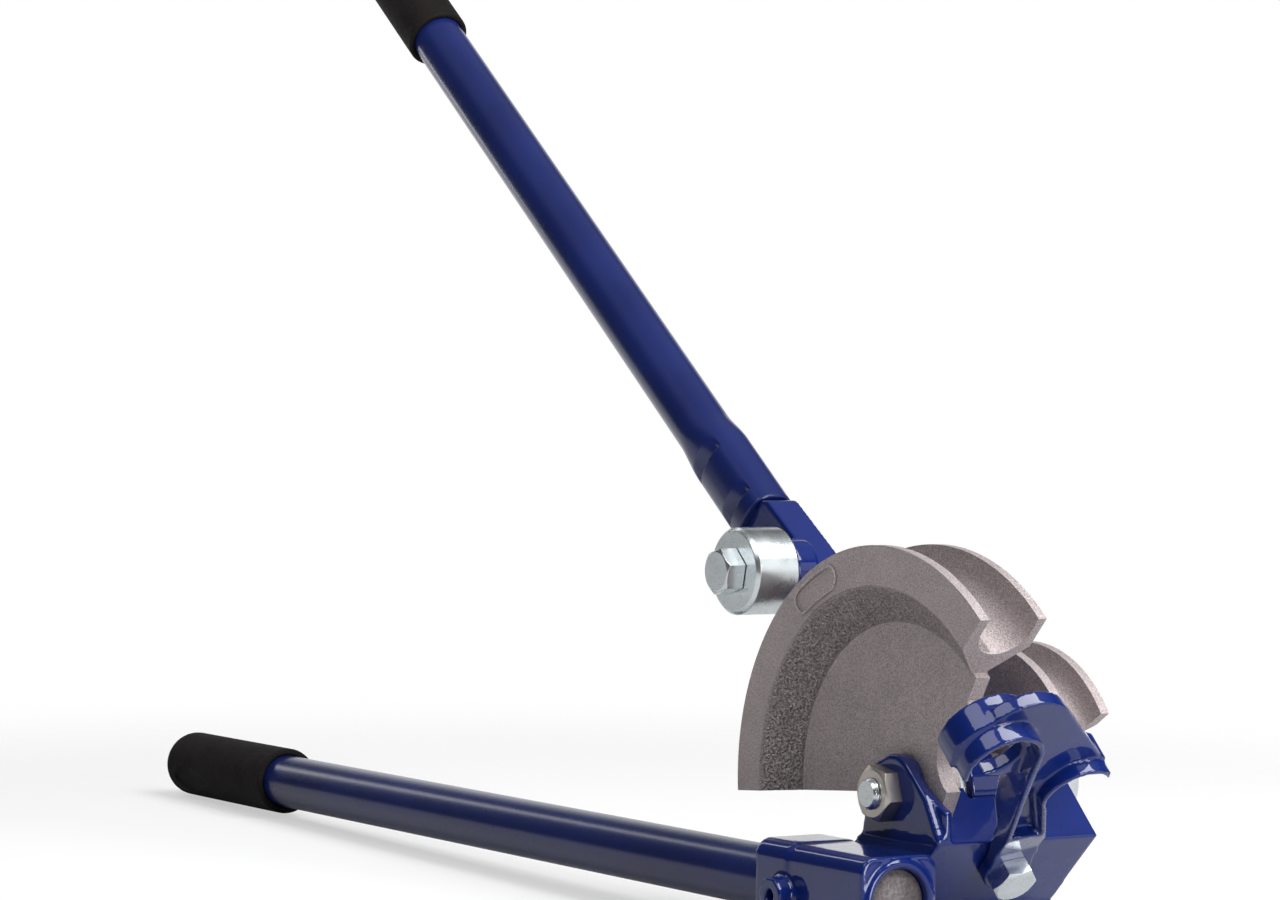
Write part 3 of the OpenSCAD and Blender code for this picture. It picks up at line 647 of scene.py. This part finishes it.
# rings of points about the centre, just under the tool
def floorPiece(name):
    g = floorSizes
    reach = np.linspace(g["hub"], g["radius"], g["rings"])[:, None]
    angle = np.linspace(0, 2 * np.pi, g["spokes"], endpoint=False)
    disc = np.stack([g["centre"][0] + reach * np.cos(angle), g["centre"][1] + reach * np.sin(angle),
                     np.full((g["rings"], g["spokes"]), -g["drop"])], axis=-1)
    return ringPiece(name, disc, closeEnd=False)


# the camera, and a share of the mirrored rays, see a glowing floor; other light meets a plain one; both fade to clear
def floorFinish(name):
    g = floorSizes
    material = bpy.data.materials.new(name)
    material.use_nodes = True
    tree = material.node_tree
    tree.nodes.clear()
    coords = addNode(tree, "ShaderNodeTexCoord")
    shift = addNode(tree, "ShaderNodeMapping")
    shift.inputs["Location"].default_value = (-g["centre"][0], -g["centre"][1], 0)
    tree.links.new(coords.outputs["Object"], shift.inputs["Vector"])
    distance = addNode(tree, "ShaderNodeVectorMath", operation="LENGTH")
    tree.links.new(shift.outputs["Vector"], distance.inputs[0])
    fade = addRange(tree, distance.outputs["Value"], g["fadeStops"])
    pale = addNode(tree, "ShaderNodeBsdfDiffuse", Color=shaded((1.0, 1.0, 1.0), g["colour"]))
    seenPale = addNode(tree, "ShaderNodeBsdfDiffuse", Color=shaded((1.0, 1.0, 1.0), g["seenColour"]))
    glow = addNode(tree, "ShaderNodeEmission", Strength=g["seenGlow"])
    glowing = addNode(tree, "ShaderNodeAddShader")
    tree.links.new(seenPale.outputs["BSDF"], glowing.inputs[0])
    tree.links.new(glow.outputs["Emission"], glowing.inputs[1])
    rays = addNode(tree, "ShaderNodeLightPath")
    looked = addNode(tree, "ShaderNodeMath", operation="MULTIPLY_ADD")
    looked.inputs[1].default_value = g["mirrorShare"]
    tree.links.new(rays.outputs["Is Glossy Ray"], looked.inputs[0])
    tree.links.new(rays.outputs["Is Camera Ray"], looked.inputs[2])
    surface = addNode(tree, "ShaderNodeMixShader")
    tree.links.new(looked.outputs["Value"], surface.inputs["Fac"])
    tree.links.new(pale.outputs["BSDF"], surface.inputs[1])
    tree.links.new(glowing.outputs["Shader"], surface.inputs[2])
    clear = addNode(tree, "ShaderNodeBsdfTransparent")
    faded = addNode(tree, "ShaderNodeMixShader")
    tree.links.new(fade, faded.inputs["Fac"])
    tree.links.new(surface.outputs["Shader"], faded.inputs[1])
    tree.links.new(clear.outputs["BSDF"], faded.inputs[2])
    out = addNode(tree, "ShaderNodeOutputMaterial")
    tree.links.new(faded.outputs["Shader"], out.inputs["Surface"])
    return material


floor = floorPiece("floor")
floor.data.materials.append(floorFinish("paleFloor"))

# world: white to the camera, and as light a studio that is bright behind the tool and dimmer on the near side
studio = {"near": 0.05, "far": 0.95, "behind": (-0.846, 0.533, 0.0), "behindStops": (0.78, 0.98),
          "below": 1.0, "belowStops": (0.0, -0.12), "dome": 0.28, "domeStops": (0.5, 0.82)}


# light by direction: near to far towards the back, blended to the ground's level below and to the dome's overhead
def studioWorld(name):
    g = studio
    world = bpy.data.worlds.new(name)
    world.use_nodes = True
    tree = world.node_tree
    tree.nodes.clear()
    coords = addNode(tree, "ShaderNodeTexCoord")
    facing = addNode(tree, "ShaderNodeVectorMath", operation="DOT_PRODUCT")
    facing.inputs[1].default_value = g["behind"]
    tree.links.new(coords.outputs["Generated"], facing.inputs[0])
    height = addNode(tree, "ShaderNodeSeparateXYZ")
    tree.links.new(coords.outputs["Generated"], height.inputs["Vector"])
    strength = addRange(tree, facing.outputs["Value"], g["behindStops"], (g["near"], g["far"]))
    for stops, level in ((g["belowStops"], g["below"]), (g["domeStops"], g["dome"])):
        blend = addNode(tree, "ShaderNodeMix", data_type="FLOAT")
        blend.inputs[3].default_value = level
        tree.links.new(addRange(tree, height.outputs["Z"], stops), blend.inputs[0])
        tree.links.new(strength, blend.inputs[2])
        strength = blend.outputs[0]
    lit = addNode(tree, "ShaderNodeBackground", Color=(1, 1, 1, 1))
    tree.links.new(strength, lit.inputs["Strength"])
    seen = addNode(tree, "ShaderNodeBackground", Color=(1, 1, 1, 1), Strength=1.0)
    rays = addNode(tree, "ShaderNodeLightPath")
    chosen = addNode(tree, "ShaderNodeMixShader")
    tree.links.new(rays.outputs["Is Camera Ray"], chosen.inputs["Fac"])
    tree.links.new(lit.outputs["Background"], chosen.inputs[1])
    tree.links.new(seen.outputs["Background"], chosen.inputs[2])
    out = addNode(tree, "ShaderNodeOutputWorld")
    tree.links.new(chosen.outputs["Shader"], out.inputs["Surface"])
    return world


scene.world = studioWorld("studio")

# soft boxes: name, place, point looked at, width, height, power in watts
softBoxes = [("keyBox", (0.8, 0.3, 1.5), (0.0, 0.0, 0.08), 1.2, 1.2, 40.0),
             ("topBox", (0.3, -1.1, 1.4), (-0.1, 0.0, 0.1), 1.0, 0.8, 7.5),
             ("leftStrip", (-1.4, -0.25, 0.75), (-0.15, 0.0, 0.15), 0.14, 1.3, 1.6),
             ("backBox", (1.3, 0.85, 0.5), (0.0, 0.0, 0.1), 0.8, 0.8, 2.4),
             ("rightBox", (1.3, 0.1, 0.2), (0.0, 0.0, 0.1), 0.6, 0.6, 10.0)]
for name, place, aim, wide, tall, power in softBoxes:
    lamp = bpy.data.lights.new(name, "AREA")
    lamp.shape = "RECTANGLE"
    lamp.size, lamp.size_y = wide, tall
    lamp.energy = power
    box = bpy.data.objects.new(name, lamp)
    scene.collection.objects.link(box)
    box.location = place
    box.rotation_mode = "QUATERNION"
    box.rotation_quaternion = (Vector(aim) - Vector(place)).to_track_quat("-Z", "Y")
scene.view_settings.view_transform = "Standard"
print("stage and lights done")

bpy.context.view_layer.update()
